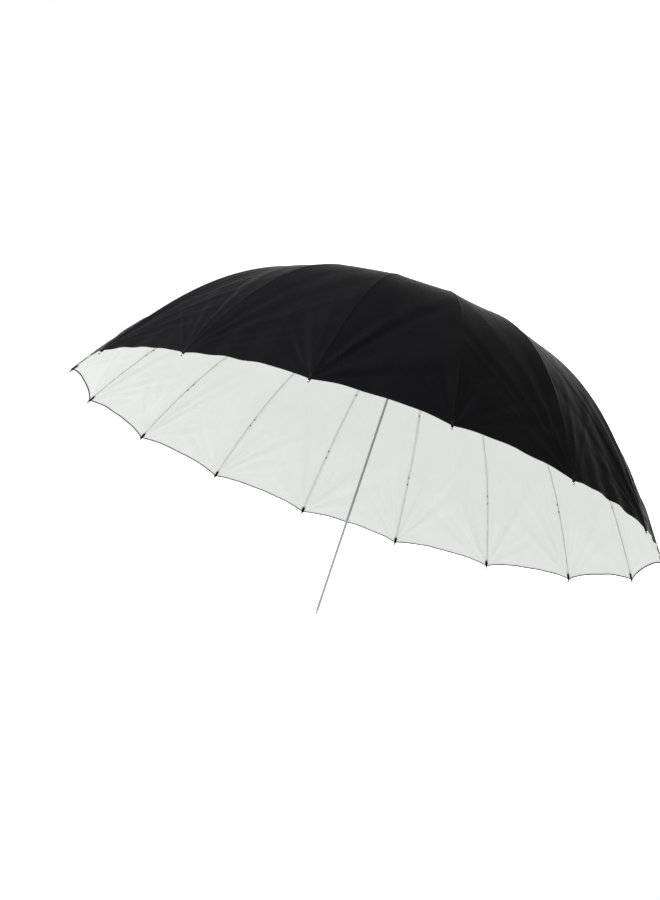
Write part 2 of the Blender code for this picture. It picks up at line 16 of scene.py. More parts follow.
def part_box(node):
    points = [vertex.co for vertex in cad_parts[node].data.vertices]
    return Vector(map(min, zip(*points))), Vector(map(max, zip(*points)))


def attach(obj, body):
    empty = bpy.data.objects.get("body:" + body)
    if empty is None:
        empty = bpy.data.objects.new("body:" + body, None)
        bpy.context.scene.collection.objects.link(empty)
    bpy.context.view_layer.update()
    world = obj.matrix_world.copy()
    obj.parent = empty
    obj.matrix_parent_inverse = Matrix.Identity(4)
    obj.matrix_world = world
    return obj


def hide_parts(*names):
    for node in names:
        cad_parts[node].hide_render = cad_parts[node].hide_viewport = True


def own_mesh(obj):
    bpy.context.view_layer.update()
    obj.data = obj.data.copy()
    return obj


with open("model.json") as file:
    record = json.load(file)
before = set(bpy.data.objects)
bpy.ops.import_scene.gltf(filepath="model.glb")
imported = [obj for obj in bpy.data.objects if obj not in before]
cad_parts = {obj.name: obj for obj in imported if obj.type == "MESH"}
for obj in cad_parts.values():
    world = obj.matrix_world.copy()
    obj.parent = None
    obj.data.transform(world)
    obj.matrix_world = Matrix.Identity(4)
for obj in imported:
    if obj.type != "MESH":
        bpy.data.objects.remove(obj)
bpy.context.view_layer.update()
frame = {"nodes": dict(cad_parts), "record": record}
joints = {j["name"]: j for j in frame["record"]["behaviour"]["joints"]}

# ------------------------------------------------------------------------- sizes from the frame
RIB_COUNT = 16
PITCH = tau / RIB_COUNT
PIVOT_RADIUS = joints["rib_01_fold"]["pos_m"][2]
HUB_Y = joints["rib_01_fold"]["pos_m"][1]
STRUT_JOINT = joints["strut_01_fold"]["pos_m"]
RIM_RADIUS = 1.067
TIP_SLOPE = radians(58.5)
SLOPE_SPREAD = 0.85
ROD_RADIUS = 0.0019
TIP_ROD_RADIUS = 0.0015
PROFILE_SAMPLES = 1200

# Canopy
CANOPY_OFFSET = 0.0028       # middle of the cloth above the rib's centre line
CANOPY_INNER_RADIUS = 0.020
CANOPY_TIP_SETBACK = 0.012   # cloth ends this far before the rib's end
FABRIC = 0.0006
SCALLOP = 0.018
SCALLOP_SHAPE = 2.8          # 2 is a parabola, more is flatter between the ribs
SEAM_OFFSETS = (0.0, 0.0016, 0.0036, 0.0044)
SEAM_RAISE = 0.0008
HEM_ROWS = (0.0092, 0.0084, 0.0080, 0.0055, 0.0042, 0.0026, 0.0008, 0.0)
HEM_WIDTH = 0.0082
HEM_RAISE = 0.0005
HEM_TURN_IN = 0.0045         # black backing wrapped round to the white side
HEM_ZONE = 0.012             # the evenly spread rows end this far before the rim
HEM_EDGE = 0.0003            # step between hem and plain cloth
SEAM_SHARE = 0.55            # most of a half gore that a seam may take near the apex
MAIN_ROWS = 96
MAIN_COLUMNS = 22
ROW_BUNCHING = 1.22          # rows lie closer together towards the rim
BELLY = 0.0192               # sag of a gore's middle as a share of its radius
BELLY_AT_ENDS = 0.22         # outwards near hub and rim
BELLY_AT_BEND = 0.34         # pulled in over the bend
WAVE_FADE = 0.26             # distance up from the rim over which its waves die out
FLAT_BESIDE_RIB = 0.012      # creases fade out over this width beside a rib
TINY = 1e-6

# Sewn lines
STITCHES_PER_METRE = 320.0
STITCH_GAP = 0.25
STITCH_HALF_WIDTH = 0.00025
SEAM_STITCH = 0.0028         # from the seam's middle
HEM_STITCH = 0.0068          # from the rim

# Wires, ties and steel parts
WIRE_RADIUS = 0.0006
WIRE_HOLE = 0.0012
EYE_RADIUS = 0.0025
WIRE_ABOVE_MIDDLE = 0.0009   # runner's wire above the middle of its crown
BALL_RADIUS = 0.0033
THREAD_RADIUS = 0.00055
THREAD_LOOP = 0.0027
THREAD_PITCH = 0.0022
ROD_WANDER = 0.0014
TIE_SHARES = (0.30, 0.54, 0.765, 0.788)


def rib_slope(share):
    return TIP_SLOPE * np.sin(0.5 * pi * share ** SLOPE_SPREAD) ** 2


def rib_curve():
    """Distance, out, up and slope along the rib from its pivot."""
    slopes = rib_slope((np.arange(PROFILE_SAMPLES) + 0.5) / PROFILE_SAMPLES)
    length = (RIM_RADIUS - PIVOT_RADIUS) * PROFILE_SAMPLES / np.cos(slopes).sum()
    step = length / PROFILE_SAMPLES
    out = np.concatenate([[0.0], np.cumsum(step * np.cos(slopes))])
    up = np.concatenate([[0.0], -np.cumsum(step * np.sin(slopes))])
    distance = np.linspace(0.0, length, PROFILE_SAMPLES + 1)
    return distance, out, up, rib_slope(distance / length), length


CURVE_DISTANCE, CURVE_OUT, CURVE_UP, CURVE_SLOPE, RIB_LENGTH = rib_curve()
CANOPY_FIRST = CANOPY_INNER_RADIUS - PIVOT_RADIUS
CANOPY_LAST = RIB_LENGTH - CANOPY_TIP_SETBACK


def on_rib(distance, lift=0.0):
    """Radius, height and slope at a distance along the rib, lifted towards the outside."""
    out = np.interp(distance, CURVE_DISTANCE, CURVE_OUT)
    up = np.interp(distance, CURVE_DISTANCE, CURVE_UP)
    slope = np.interp(distance, CURVE_DISTANCE, CURVE_SLOPE)
    return PIVOT_RADIUS + out + lift * np.sin(slope), HUB_Y + up + lift * np.cos(slope), slope


def turn_matrix(number):
    """From a rib's own frame to the row frame."""
    return Matrix.Rotation((number - 1) * PITCH, 4, "Y")


def tangent_axis(number):
    angle = (number - 1) * PITCH
    return (cos(angle), 0.0, -sin(angle))


# ------------------------------------------------------------------------------------- materials
def node_material(name, colour, roughness, metallic=0.0):
    made = bpy.data.materials.new(name)
    made.use_nodes = True
    tree = made.node_tree
    shader = tree.nodes["Principled BSDF"]
    shader.inputs["Base Color"].default_value = (*colour, 1.0)
    shader.inputs["Roughness"].default_value = roughness
    shader.inputs["Metallic"].default_value = metallic
    return made, tree, shader


def add(tree, kind, **settings):
    node = tree.nodes.new(kind)
    for key, value in settings.items():
        setattr(node, key, value)
    return node


def ramp(tree, source, stops):
    """Colour ramp on a value, from (position, colour) stops."""
    node = tree.nodes.new("ShaderNodeValToRGB")
    elements = node.color_ramp.elements
    while len(elements) < len(stops):
        elements.new(0.5)
    for element, (position, colour) in zip(elements, stops):
        element.position = position
        element.color = (*colour, 1.0)
    tree.links.new(source, node.inputs["Fac"])
    return node.outputs["Color"]


def noise(tree, coordinates, scale, detail=3.0, stretch=(1.0, 1.0, 1.0)):
    mapping = add(tree, "ShaderNodeMapping")
    mapping.inputs["Scale"].default_value = stretch
    tree.links.new(coordinates, mapping.inputs["Vector"])
    node = tree.nodes.new("ShaderNodeTexNoise")
    node.inputs["Scale"].default_value = scale
    node.inputs["Detail"].default_value = detail
    tree.links.new(mapping.outputs["Vector"], node.inputs["Vector"])
    return node.outputs["Fac"]


def value_range(tree, source, low, high):
    node = tree.nodes.new("ShaderNodeMapRange")
    node.inputs["To Min"].default_value = low
    node.inputs["To Max"].default_value = high
    tree.links.new(source, node.inputs["Value"])
    return node.outputs["Result"]


def bump(tree, height, distance, strength=1.0, before=None):
    node = tree.nodes.new("ShaderNodeBump")
    node.inputs["Strength"].default_value = strength
    node.inputs["Distance"].default_value = distance
    tree.links.new(height, node.inputs["Height"])
    if before:
        tree.links.new(before, node.inputs["Normal"])
    return node.outputs["Normal"]


def calc(tree, operation, first, second=None):
    node = tree.nodes.new("ShaderNodeMath")
    node.operation = operation
    for socket, value in zip(node.inputs, (first, second)):
        if value is None:
            continue
        if isinstance(value, (int, float)):
            socket.default_value = value
        else:
            tree.links.new(value, socket)
    return node.outputs["Value"]


def band(tree, value, centre, half_width):
    """1 where a value lies within half_width of a centre, 0 elsewhere."""
    away = calc(tree, "ABSOLUTE", calc(tree, "SUBTRACT", value, centre))
    return calc(tree, "LESS_THAN", away, half_width)


def dashes(tree, along):
    """1 on the stitches along a coordinate in metres, 0 between them."""
    phase = calc(tree, "FRACT", calc(tree, "MULTIPLY", along, STITCHES_PER_METRE))
    return calc(tree, "GREATER_THAN", phase, STITCH_GAP)


def blend_colour(tree, factor, first, second):
    """From a colour output to a constant colour, by a factor output."""
    mix = tree.nodes.new("ShaderNodeMixRGB")
    mix.inputs["Color2"].default_value = (*second, 1.0)
    tree.links.new(factor, mix.inputs["Fac"])
    tree.links.new(first, mix.inputs["Color1"])
    return mix.outputs["Color"]


def cloth_material(name, colour, variation, roughness, crinkle, thread_colour, seam_tape_and_shade_colour):
    """Coated nylon: plain weave, soft crinkles, sewn lines beside each seam and round the hem, and a darker
    seam band of tape colour with painted rib shade.
    """
    made, tree, shader = node_material(name, colour, roughness)
    uv = add(tree, "ShaderNodeUVMap", uv_map="cloth")
    place = uv.outputs["UV"]
    split = tree.nodes.new("ShaderNodeSeparateXYZ")
    tree.links.new(place, split.inputs["Vector"])
    across = calc(tree, "ABSOLUTE", split.outputs["X"])
    rim = add(tree, "ShaderNodeAttribute", attribute_name="rim_gap").outputs["Fac"]
    seam_line = calc(tree, "MULTIPLY", band(tree, across, SEAM_STITCH, STITCH_HALF_WIDTH),
                     dashes(tree, split.outputs["Y"]))
    hem_line = calc(tree, "MULTIPLY", band(tree, rim, HEM_STITCH, STITCH_HALF_WIDTH),
                    dashes(tree, split.outputs["X"]))
    stitches = calc(tree, "MAXIMUM", seam_line, hem_line)

    cloud = noise(tree, place, 7.0, 4.0)
    tint = ramp(tree, cloud, [(0.3, [c * (1.0 - variation) for c in colour]),
                              (0.7, [c * (1.0 + variation) for c in colour])])
    # Band over each seam: partly the seam tape's own colour, partly painted shade where the rib shadows the
    # seam.
    seam_tape_and_shade = calc(tree, "LESS_THAN", across, SEAM_OFFSETS[-1])
    tint = blend_colour(tree, seam_tape_and_shade, tint, seam_tape_and_shade_colour)
    tree.links.new(blend_colour(tree, stitches, tint, thread_colour), shader.inputs["Base Color"])
    tree.links.new(value_range(tree, noise(tree, place, 30.0, 3.0), roughness - 0.06, roughness + 0.06),
                   shader.inputs["Roughness"])

    folds = noise(tree, place, 16.0, 4.0, (1.6, 0.55, 1.0))
    crease = noise(tree, place, 60.0, 2.0, (1.4, 0.5, 1.0))
    weave = tree.nodes.new("ShaderNodeTexWave")
    weave.inputs["Scale"].default_value = 700.0
    weave.inputs["Distortion"].default_value = 0.6
    tree.links.new(place, weave.inputs["Vector"])
    normal = bump(tree, folds, crinkle)
    normal = bump(tree, crease, 0.18 * crinkle, before=normal)
    normal = bump(tree, weave.outputs["Fac"], 0.00005, 0.35, normal)
    normal = bump(tree, stitches, 0.00035, 1.0, normal)
    tree.links.new(normal, shader.inputs["Normal"])
    return made, shader


def metal_material(name, colour, roughness, edge_colour):
    """Drawn or stamped metal, with fine lines and a little dirt in its roughness."""
    made, tree, shader = node_material(name, colour, roughness, 1.0)
    shader.inputs["Specular Tint"].default_value = (*edge_colour, 1.0)
    coordinates = tree.nodes.new("ShaderNodeTexCoord").outputs["Object"]
    lines = noise(tree, coordinates, 900.0, 2.0, (1.0, 0.02, 1.0))
    smudge = noise(tree, coordinates, 45.0, 3.0)
    tint = ramp(tree, smudge, [(0.3, [0.92 * c for c in colour]), (0.75, colour)])
    tree.links.new(tint, shader.inputs["Base Color"])
    tree.links.new(value_range(tree, smudge, roughness - 0.05, roughness + 0.10), shader.inputs["Roughness"])
    tree.links.new(bump(tree, lines, 0.00002), shader.inputs["Normal"])
    return made


def plastic_material(name, colour, roughness, grain=0.00004, grain_scale=1800.0):
    """Moulded plastic or glass fibre rod: fine grain and slight tone changes."""
    made, tree, shader = node_material(name, colour, roughness)
    coordinates = tree.nodes.new("ShaderNodeTexCoord").outputs["Object"]
    grains = noise(tree, coordinates, grain_scale, 2.0)
    tone = noise(tree, coordinates, 60.0, 3.0)
    tint = ramp(tree, tone, [(0.3, [0.88 * c for c in colour]), (0.7, [1.1 * c for c in colour])])
    tree.links.new(tint, shader.inputs["Base Color"])
    tree.links.new(value_range(tree, tone, roughness - 0.06, roughness + 0.08), shader.inputs["Roughness"])
    tree.links.new(bump(tree, grains, grain), shader.inputs["Normal"])
    return made


# Each cloth's last colour is its seam band: partly seam tape, partly painted shade of the rib.
BLACK_CLOTH, black_shader = cloth_material("black_nylon", (0.0042, 0.0042, 0.0046), 0.10, 0.30, 0.0016,
                                           (0.009, 0.009, 0.0095), (0.0038, 0.0038, 0.0041))
WHITE_CLOTH, white_shader = cloth_material("white_nylon", (0.765, 0.775, 0.765), 0.012, 0.62, 0.0009,
                                           (0.60, 0.61, 0.58), (0.69, 0.71, 0.66))
black_shader.inputs["IOR"].default_value = 1.02
white_shader.inputs["Specular IOR Level"].default_value = 0.25
STEEL = metal_material("satin_steel", (0.36, 0.365, 0.37), 0.18, (0.03, 0.03, 0.03))
STRUT_STEEL = metal_material("strut_steel", (0.46, 0.47, 0.48), 0.36, (0.3, 0.3, 0.3))
CHROME = metal_material("tip_nickel", (0.30, 0.30, 0.30), 0.20, (0.1, 0.1, 0.1))
FIBRE = plastic_material("glass_fibre", (0.72, 0.75, 0.66), 0.38, 0.00003, 900.0)
BLACK_PLASTIC = plastic_material("black_plastic", (0.018, 0.018, 0.020), 0.42)
PALE_NYLON = plastic_material("pale_nylon", (0.66, 0.66, 0.63), 0.46)
WEBBING = plastic_material("black_webbing", (0.0022, 0.0022, 0.0025), 0.50, 0.00025, 700.0)
WEBBING.node_tree.nodes["Principled BSDF"].inputs["IOR"].default_value = 1.10
THREAD = plastic_material("dark_thread", (0.035, 0.035, 0.036), 0.70, 0.0001, 1500.0)


# ---------------------------------------------------------------------------------------- pieces
def piece(name, mesh, body, materials, smooth_angle=40.0):
    """An object of a finished mesh that rides on a body."""
    item = bpy.data.objects.new(name, mesh)
    bpy.context.scene.collection.objects.link(item)
    for made in materials:
        mesh.materials.append(made)
    if smooth_angle:
        mesh.shade_smooth()
        mesh.set_sharp_from_angle(angle=radians(smooth_angle))
    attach(item, body)
    return item


def mesh_of(name, parts, matrix=None):
    """One mesh from lists of (vertices, faces), with normals pointing out."""
    shape = bmesh.new()
    for vertices, faces in parts:
        made = [shape.verts.new(v) for v in vertices]
        for face in faces:
            shape.faces.new([made[i] for i in face])
    bmesh.ops.recalc_face_normals(shape, faces=shape.faces)
    if matrix:
        bmesh.ops.transform(shape, matrix=matrix, verts=shape.verts)
    mesh = bpy.data.meshes.new(name)
    shape.to_mesh(mesh)
    shape.free()
    return mesh


def loft(rings, closed=False):
    """Skin over rings of equal counts, capped at both ends unless it closes on itself."""
    count = len(rings[0])
    vertices = [tuple(point) for ring in rings for point in ring]
    faces = []
    for r in range(len(rings) if closed else len(rings) - 1):
        here = r * count
        there = (r + 1) % len(rings) * count
        faces += [(here + i, here + (i + 1) % count, there + (i + 1) % count, there + i)
                  for i in range(count)]
    if not closed:
        faces.append(tuple(range(count)))
        faces.append(tuple(range(len(vertices) - count, len(vertices))))
    return vertices, faces


def turned(outline, segments=48):
    """Solid turned about the shaft from (radius, y) points; it closes on itself when it has a bore."""
    angles = [tau * i / segments for i in range(segments)]
    if all(r > 0 for r, _ in outline):
        return loft([[(r * sin(a), y, r * cos(a)) for r, y in outline] for a in angles], closed=True)
    return loft([[(r * sin(a), y, r * cos(a)) for a in angles] for r, y in outline if r > 0])


def rod(stops, sides=16, shift_of=None, lift=0.0):
    """Skin of a rod along the rib, from (distance, half width, half height) stops."""
    rings = []
    for distance, half_width, half_height in stops:
        radius, height, slope = on_rib(distance, lift)
        shift = shift_of(distance) if shift_of else 0.0
        ring = []
        for i in range(sides):
            a = tau * i / sides
            rise = half_height * sin(a)
            ring.append((shift + half_width * cos(a), height + rise * cos(slope),
                         radius + rise * sin(slope)))
        rings.append(ring)
    return loft(rings)


def round_rod(stops, sides=16, shift_of=None):
    return rod([(distance, size, size) for distance, size in stops], sides, shift_of)


def plate(outline, half_width, to_frame):
    """Plate of an (a, b) outline with its thickness across the rib."""
    return loft([[to_frame(x, a, b) for a, b in outline] for x in (-half_width, half_width)])


def arc(centre, radius, start, end, steps):
    return [(centre[0] + radius * cos(start + (end - start) * i / steps),
             centre[1] + radius * sin(start + (end - start) * i / steps)) for i in range(steps + 1)]


def ring_plate(outer, hole_centre, hole_radius, half_width, to_frame):
    """Plate with a round hole; outer has one point for each point of the hole."""
    count = len(outer)
    start = atan2(outer[0][1] - hole_centre[1], outer[0][0] - hole_centre[0])
    hole = [(hole_centre[0] + hole_radius * cos(start + tau * i / count),
             hole_centre[1] + hole_radius * sin(start + tau * i / count)) for i in range(count)]
    rings = [[to_frame(-half_width, *p) for p in outer], [to_frame(half_width, *p) for p in outer],
             [to_frame(half_width, *p) for p in hole], [to_frame(-half_width, *p) for p in hole]]
    return loft(rings, closed=True)


# ---------------------------------------------------------------------------------------- canopy
def gore_creases(number):
    """Shape of one gore: the creases that fan out from its two lower corners, as (angle, height, spread,
    reach), the waves that run up from its rim, as (count, phase, height), and its own belly."""
    draw = random.Random(700 + number)
    corners = []
    for _ in range(2):
        creases = []
        angle = draw.uniform(0.14, 0.22)
        while angle < 1.15:
            spread = draw.uniform(0.030, 0.060) * (1.0 + 0.5 * angle)
            height = draw.choice((-1.0, 1.0)) * draw.uniform(0.0016, 0.0046) * (1.2 - 0.6 * angle)
            creases.append((angle, height, spread, draw.uniform(0.09, 0.21)))
            angle += spread * draw.uniform(1.5, 2.8)
        corners.append(creases)
    waves = [(draw.uniform(0.9, 4.2), draw.uniform(0.0, tau), draw.uniform(0.0007, 0.0019))
             for _ in range(4)]
    return corners, waves, draw.uniform(-0.0025, 0.0025)


CREASES = [gore_creases(g) for g in range(RIB_COUNT)]


def gore_lift(gore, share, distance):
    """Height of the cloth off the plain surface of a gore; share runs from 0 to 1 between its ribs."""
    corners, waves, belly = CREASES[gore % RIB_COUNT]
    radius, _, _ = on_rib(distance)
    width = 2.0 * radius * sin(0.5 * PITCH)
    above = np.maximum(CANOPY_LAST - distance, 0.0)
    lift = np.zeros_like(share)
    for creases, away in ((corners[0], share * width), (corners[1], (1.0 - share) * width)):
        reach = np.hypot(away, above) + TINY
        angle = np.arctan2(away, above + TINY)
        for centre, height, spread, peak in creases:
            q = reach / peak
            lift += height * np.exp(-((angle - centre) / spread) ** 2) * q * np.exp(1.0 - q)
    middle = 4.0 * share * (1.0 - share)
    for count, phase, height in waves:
        wave = np.sin(tau * count * share + phase + 3.0 * above)
        lift += height * wave * middle * np.exp(-above / WAVE_FADE)
    lift += belly * middle * np.sin(pi * np.clip(distance / RIB_LENGTH, 0.0, 1.0)) ** 2
    held = np.minimum(share, 1.0 - share) * width
    return lift * np.clip(held / FLAT_BESIDE_RIB, 0.0, 1.0) ** 1.5


def panel_grid():
    """Shares across a panel and distances along it, with the gap to the rim, for every grid point."""
    row_shares = 1.0 - (1.0 - np.arange(MAIN_ROWS + 1) / MAIN_ROWS) ** ROW_BUNCHING
    shares = []
    distances = []
    gaps = []
    last_main = CANOPY_LAST - HEM_ZONE
    for row in range(MAIN_ROWS + 1 + len(HEM_ROWS)):
        base = CANOPY_FIRST + (last_main - CANOPY_FIRST) * row_shares[min(row, MAIN_ROWS)]
        radius, _, _ = on_rib(base)
        half = radius * sin(0.5 * PITCH)
        scale = min(1.0, SEAM_SHARE * half / SEAM_OFFSETS[-1])
        seam = [0.5 * s * scale / half for s in SEAM_OFFSETS]
        side = seam + list(np.linspace(seam[-1], 0.5, MAIN_COLUMNS + 1)[1:])
        line = np.array([-s for s in reversed(side[1:])] + side)
        edge = CANOPY_LAST - SCALLOP * (1.0 - np.abs(1.0 - 2.0 * np.abs(line)) ** SCALLOP_SHAPE)
        if row <= MAIN_ROWS:
            distance = CANOPY_FIRST + (edge - HEM_ZONE - CANOPY_FIRST) * row_shares[row]
        else:
            distance = edge - HEM_ROWS[row - MAIN_ROWS - 1]
        shares.append(line)
        distances.append(distance)
        gaps.append(edge - distance)
    return np.array(shares), np.array(distances), np.array(gaps)


def panel_surface(number, shares, distances, lift):
    """Points of one panel, lifted off the middle of the cloth."""
    t = np.abs(shares)
    right = shares >= 0
    gore = gore_lift(number - 1, t, distances)
    other = gore_lift(number - 2, 1.0 - t, distances)
    fold = np.where(right, gore, other)
    radius, height, slope = on_rib(distances, CANOPY_OFFSET)
    bend = np.sin(pi * np.clip(distances / RIB_LENGTH, 0.0, 1.0))
    belly = BELLY * radius * (BELLY_AT_ENDS - BELLY_AT_BEND * bend) * 4.0 * t * (1.0 - t)
    total = lift + fold + belly
    tilt = t * PITCH
    across = radius * t * sin(PITCH) + total * np.sin(slope) * np.sin(tilt)
    depth = radius * (1.0 - t + t * cos(PITCH)) + total * np.sin(slope) * np.cos(tilt)
    points = np.stack([np.sign(shares) * across, height + total * np.cos(slope), depth], -1)
    angle = (number - 1) * PITCH
    spun = points.copy()
    spun[..., 0] = points[..., 0] * cos(angle) + points[..., 2] * sin(angle)
    spun[..., 2] = -points[..., 0] * sin(angle) + points[..., 2] * cos(angle)
    return spun


def grid_normals(points):
    along = np.gradient(points, axis=0)
    across = np.gradient(points, axis=1)
    normals = np.cross(across, along)
    return normals / np.maximum(np.linalg.norm(normals, axis=-1, keepdims=True), 1e-12)


def canopy_shells():
    """Outer and inner grids of every panel with normals that agree where two panels meet."""
    shares, distances, gaps = panel_grid()
    radius, _, _ = on_rib(distances)
    half = radius * sin(0.5 * PITCH)
    beside_rib = 2.0 * np.abs(shares) * half
    scale = np.minimum(1.0, SEAM_SHARE * half / SEAM_OFFSETS[-1])
    seam_edge = SEAM_OFFSETS[-1] - SEAM_OFFSETS[-2]
    seam = np.clip((SEAM_OFFSETS[-1] * scale - beside_rib) / seam_edge, 0.0, 1.0)
    hem = np.clip((HEM_WIDTH - gaps) / HEM_EDGE, 0.0, 1.0)
    crown = np.clip(1.0 - (beside_rib / SEAM_OFFSETS[-1]) ** 2, 0.0, 1.0)
    outer_lift = 0.5 * FABRIC + SEAM_RAISE * seam * (0.7 + 0.3 * crown) + HEM_RAISE * hem
    inner_lift = -0.5 * FABRIC - 0.5 * HEM_RAISE * hem - 0.5 * SEAM_RAISE * seam * (1.0 - crown)
    shells = []
    for number in range(1, RIB_COUNT + 1):
        outer = panel_surface(number, shares, distances, outer_lift)
        inner = panel_surface(number, shares, distances, inner_lift)
        shells.append([outer, inner, grid_normals(outer), grid_normals(inner)])
    for number in range(RIB_COUNT):
        here = shells[number]
        there = shells[(number + 1) % RIB_COUNT]
        for layer in (2, 3):
            shared = here[layer][:, -1] + there[layer][:, 0]
            shared /= np.linalg.norm(shared, axis=-1, keepdims=True)
            here[layer][:, -1] = shared
            there[layer][:, 0] = shared
    return shells, shares, distances, gaps, beside_rib


def shell_faces(rows, columns):
    """Quads of a closed shell: outer skin, inner skin, then the strips round its edge."""
    index = np.arange(rows * columns).reshape(rows, columns)
    low = index[:-1, :-1].ravel()
    outer = np.stack([low, low + 1, low + columns + 1, low + columns], 1)
    inner = outer[:, (0, 3, 2, 1)] + rows * columns      # same diagonals as the outer skin
    loop = list(index[0, :]) + list(index[1:, -1]) + list(index[-1, -2::-1]) + list(index[-2:0:-1, 0])
    edge = [(a, a + rows * columns, b + rows * columns, b) for a, b in zip(loop, loop[1:] + loop[:1])]
    return outer, inner, np.array(edge)


def panel_mesh(name, skins, uv_points, gaps):
    """Closed mesh of a panel, from its outer and inner points and normals, and its corner normals."""
    out_points, in_points, out_normals, in_normals = skins
    rows, columns = gaps.shape
    outer, inner, edge = shell_faces(rows, columns)
    faces = np.concatenate([outer, inner, edge])
    skin = np.zeros(len(faces), int)
    skin[len(outer):len(outer) + len(inner)] = gaps.ravel()[inner[:, 0] - rows * columns] > HEM_TURN_IN
    vertices = np.concatenate([out_points.reshape(-1, 3), in_points.reshape(-1, 3)])
    mesh = bpy.data.meshes.new(name)
    mesh.from_pydata(vertices.tolist(), [], faces.tolist())
    mesh.polygons.foreach_set("material_index", skin)
    mesh.polygons.foreach_set("use_smooth", np.ones(len(faces), bool))
    uv = mesh.uv_layers.new(name="cloth")
    doubled = np.tile(uv_points.reshape(-1, 2), (2, 1))
    uv.data.foreach_set("uv", doubled[faces.ravel()].ravel().astype(np.float32))
    rim_gap = np.tile(gaps.ravel(), 2).astype(np.float32)
    mesh.attributes.new("rim_gap", "FLOAT", "POINT").data.foreach_set("value", rim_gap)
    normals = np.concatenate([out_normals.reshape(-1, 3), -in_normals.reshape(-1, 3)])
    corner_normals = normals[faces.ravel()].reshape(-1, 4, 3)
    first_edge = len(outer) + len(inner)
    quad = vertices[faces[first_edge:]]
    face_normals = np.cross(quad[:, 2] - quad[:, 0], quad[:, 3] - quad[:, 1])
    face_normals /= np.maximum(np.linalg.norm(face_normals, axis=1, keepdims=True), 1e-12)
    corner_normals[first_edge:] = face_normals[:, None, :]
    return mesh, corner_normals.reshape(-1, 3)


def build_canopy():
    shells, shares, distances, gaps, beside_rib = canopy_shells()
    side = np.sign(shares) * beside_rib
    for number, skins in enumerate(shells, 1):
        name = f"canopy_{number:02d}"
        uv_points = np.stack([side, distances + 3.0 * number], -1)
        mesh, normals = panel_mesh(name, skins, uv_points, gaps)
        item = piece(name, mesh, f"rib_{number:02d}", (BLACK_CLOTH, WHITE_CLOTH),
                     smooth_angle=None)
        mesh.normals_split_custom_set(normals.tolist())
        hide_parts(f"canopy_panel_{number:02d}")
        tangent_axis(number)
        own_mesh(item)


# ----------------------------------------------------------------------------- ribs and their ends
def rib_shift(number):
    """Sideways wander of a rod between its ties, in metres."""
    draw = random.Random(40 + number)
    sizes = [draw.uniform(-ROD_WANDER, ROD_WANDER) for _ in range(len(TIE_SHARES) + 1)]
    stops = (0.0, *TIE_SHARES, 1.0)

    def shift(distance):
        share = distance / RIB_LENGTH
        for i in range(len(sizes)):
            if share <= stops[i + 1]:
                q = (share - stops[i]) / (stops[i + 1] - stops[i])
                return sizes[i] * sin(pi * q)
        return 0.0
    return shift


def build_rib(number):
    name = f"{number:02d}"
    matrix = turn_matrix(number)
    body = f"rib_{name}"
    shift = rib_shift(number)
    distances = np.linspace(0.014, RIB_LENGTH - 0.016, 72)

    def rod_radius(distance):
        return ROD_RADIUS + (TIP_ROD_RADIUS - ROD_RADIUS) * max(0.0, distance / RIB_LENGTH - 0.4) / 0.6

    stops = [(distance, rod_radius(distance)) for distance in distances]
    mesh = mesh_of(f"rib_rod_{name}", [round_rod(stops, 12, shift)], matrix)
    item = piece(f"rib_rod_{name}", mesh, body, (FIBRE,))
    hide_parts(f"rib_{name}")
    build_hub_fitting(name, matrix, body)
    build_strut_clip(name, matrix, body)
    build_rib_end(name, matrix, body)
    build_ties(name, matrix, body, shift)


def build_hub_fitting(name, matrix, body):
    """Crimped steel sleeve on the rod, flattened into the eye on the hub's wire."""
    outline = [(0.0125, 0.0015), (0.006, 0.0019)] + arc((0.0, 0.0), EYE_RADIUS, 0.30 * pi, 1.70 * pi, 11)
    outline += [(0.006, -0.0019), (0.0125, -0.0015)]

    def to_frame(x, a, b):
        return (x, HUB_Y + b, PIVOT_RADIUS + a)

    tongue = ring_plate(outline, (0.0, 0.0), WIRE_HOLE, 0.0009, to_frame)
    stops = [(0.0105, 0.0012), (0.0118, 0.0022), (0.0135, 0.0027), (0.0290, 0.0027), (0.0300, 0.0023)]
    mesh = mesh_of(f"rib_hub_fitting_{name}", [tongue, round_rod(stops)], matrix)
    piece(f"rib_hub_fitting_{name}", mesh, body, (STRUT_STEEL,))


def build_strut_clip(name, matrix, body):
    """Steel saddle crimped round the rod, with the tab that the strut's rivet turns in."""
    joint = STRUT_JOINT
    away = np.hypot(PIVOT_RADIUS + CURVE_OUT - joint[2], HUB_Y + CURVE_UP - joint[1])
    middle = float(CURVE_DISTANCE[int(np.argmin(away))])
    radius, height, slope = on_rib(middle)
    drop = float(hypot(radius - joint[2], height - joint[1]))
    cs, sn = cos(slope), sin(slope)

    def to_frame(x, a, b):
        return (x, height - a * sn + b * cs, radius + a * cs + b * sn)

    outline = [(-0.0075, -0.0012), (0.0075, -0.0012)] + arc((0.0, -drop), 0.0027, 0.0, -pi, 10)
    tab = ring_plate(outline, (0.0, -drop), 0.0010, 0.0006, to_frame)
    saddle = [(-0.0095, 0.0023), (-0.0085, 0.0028), (0.0085, 0.0028), (0.0095, 0.0023)]
    sleeve = round_rod([(middle + offset, size) for offset, size in saddle])
    mesh = mesh_of(f"rib_clip_{name}", [tab, sleeve], matrix)
    piece(f"rib_clip_{name}", mesh, body, (STRUT_STEEL,))


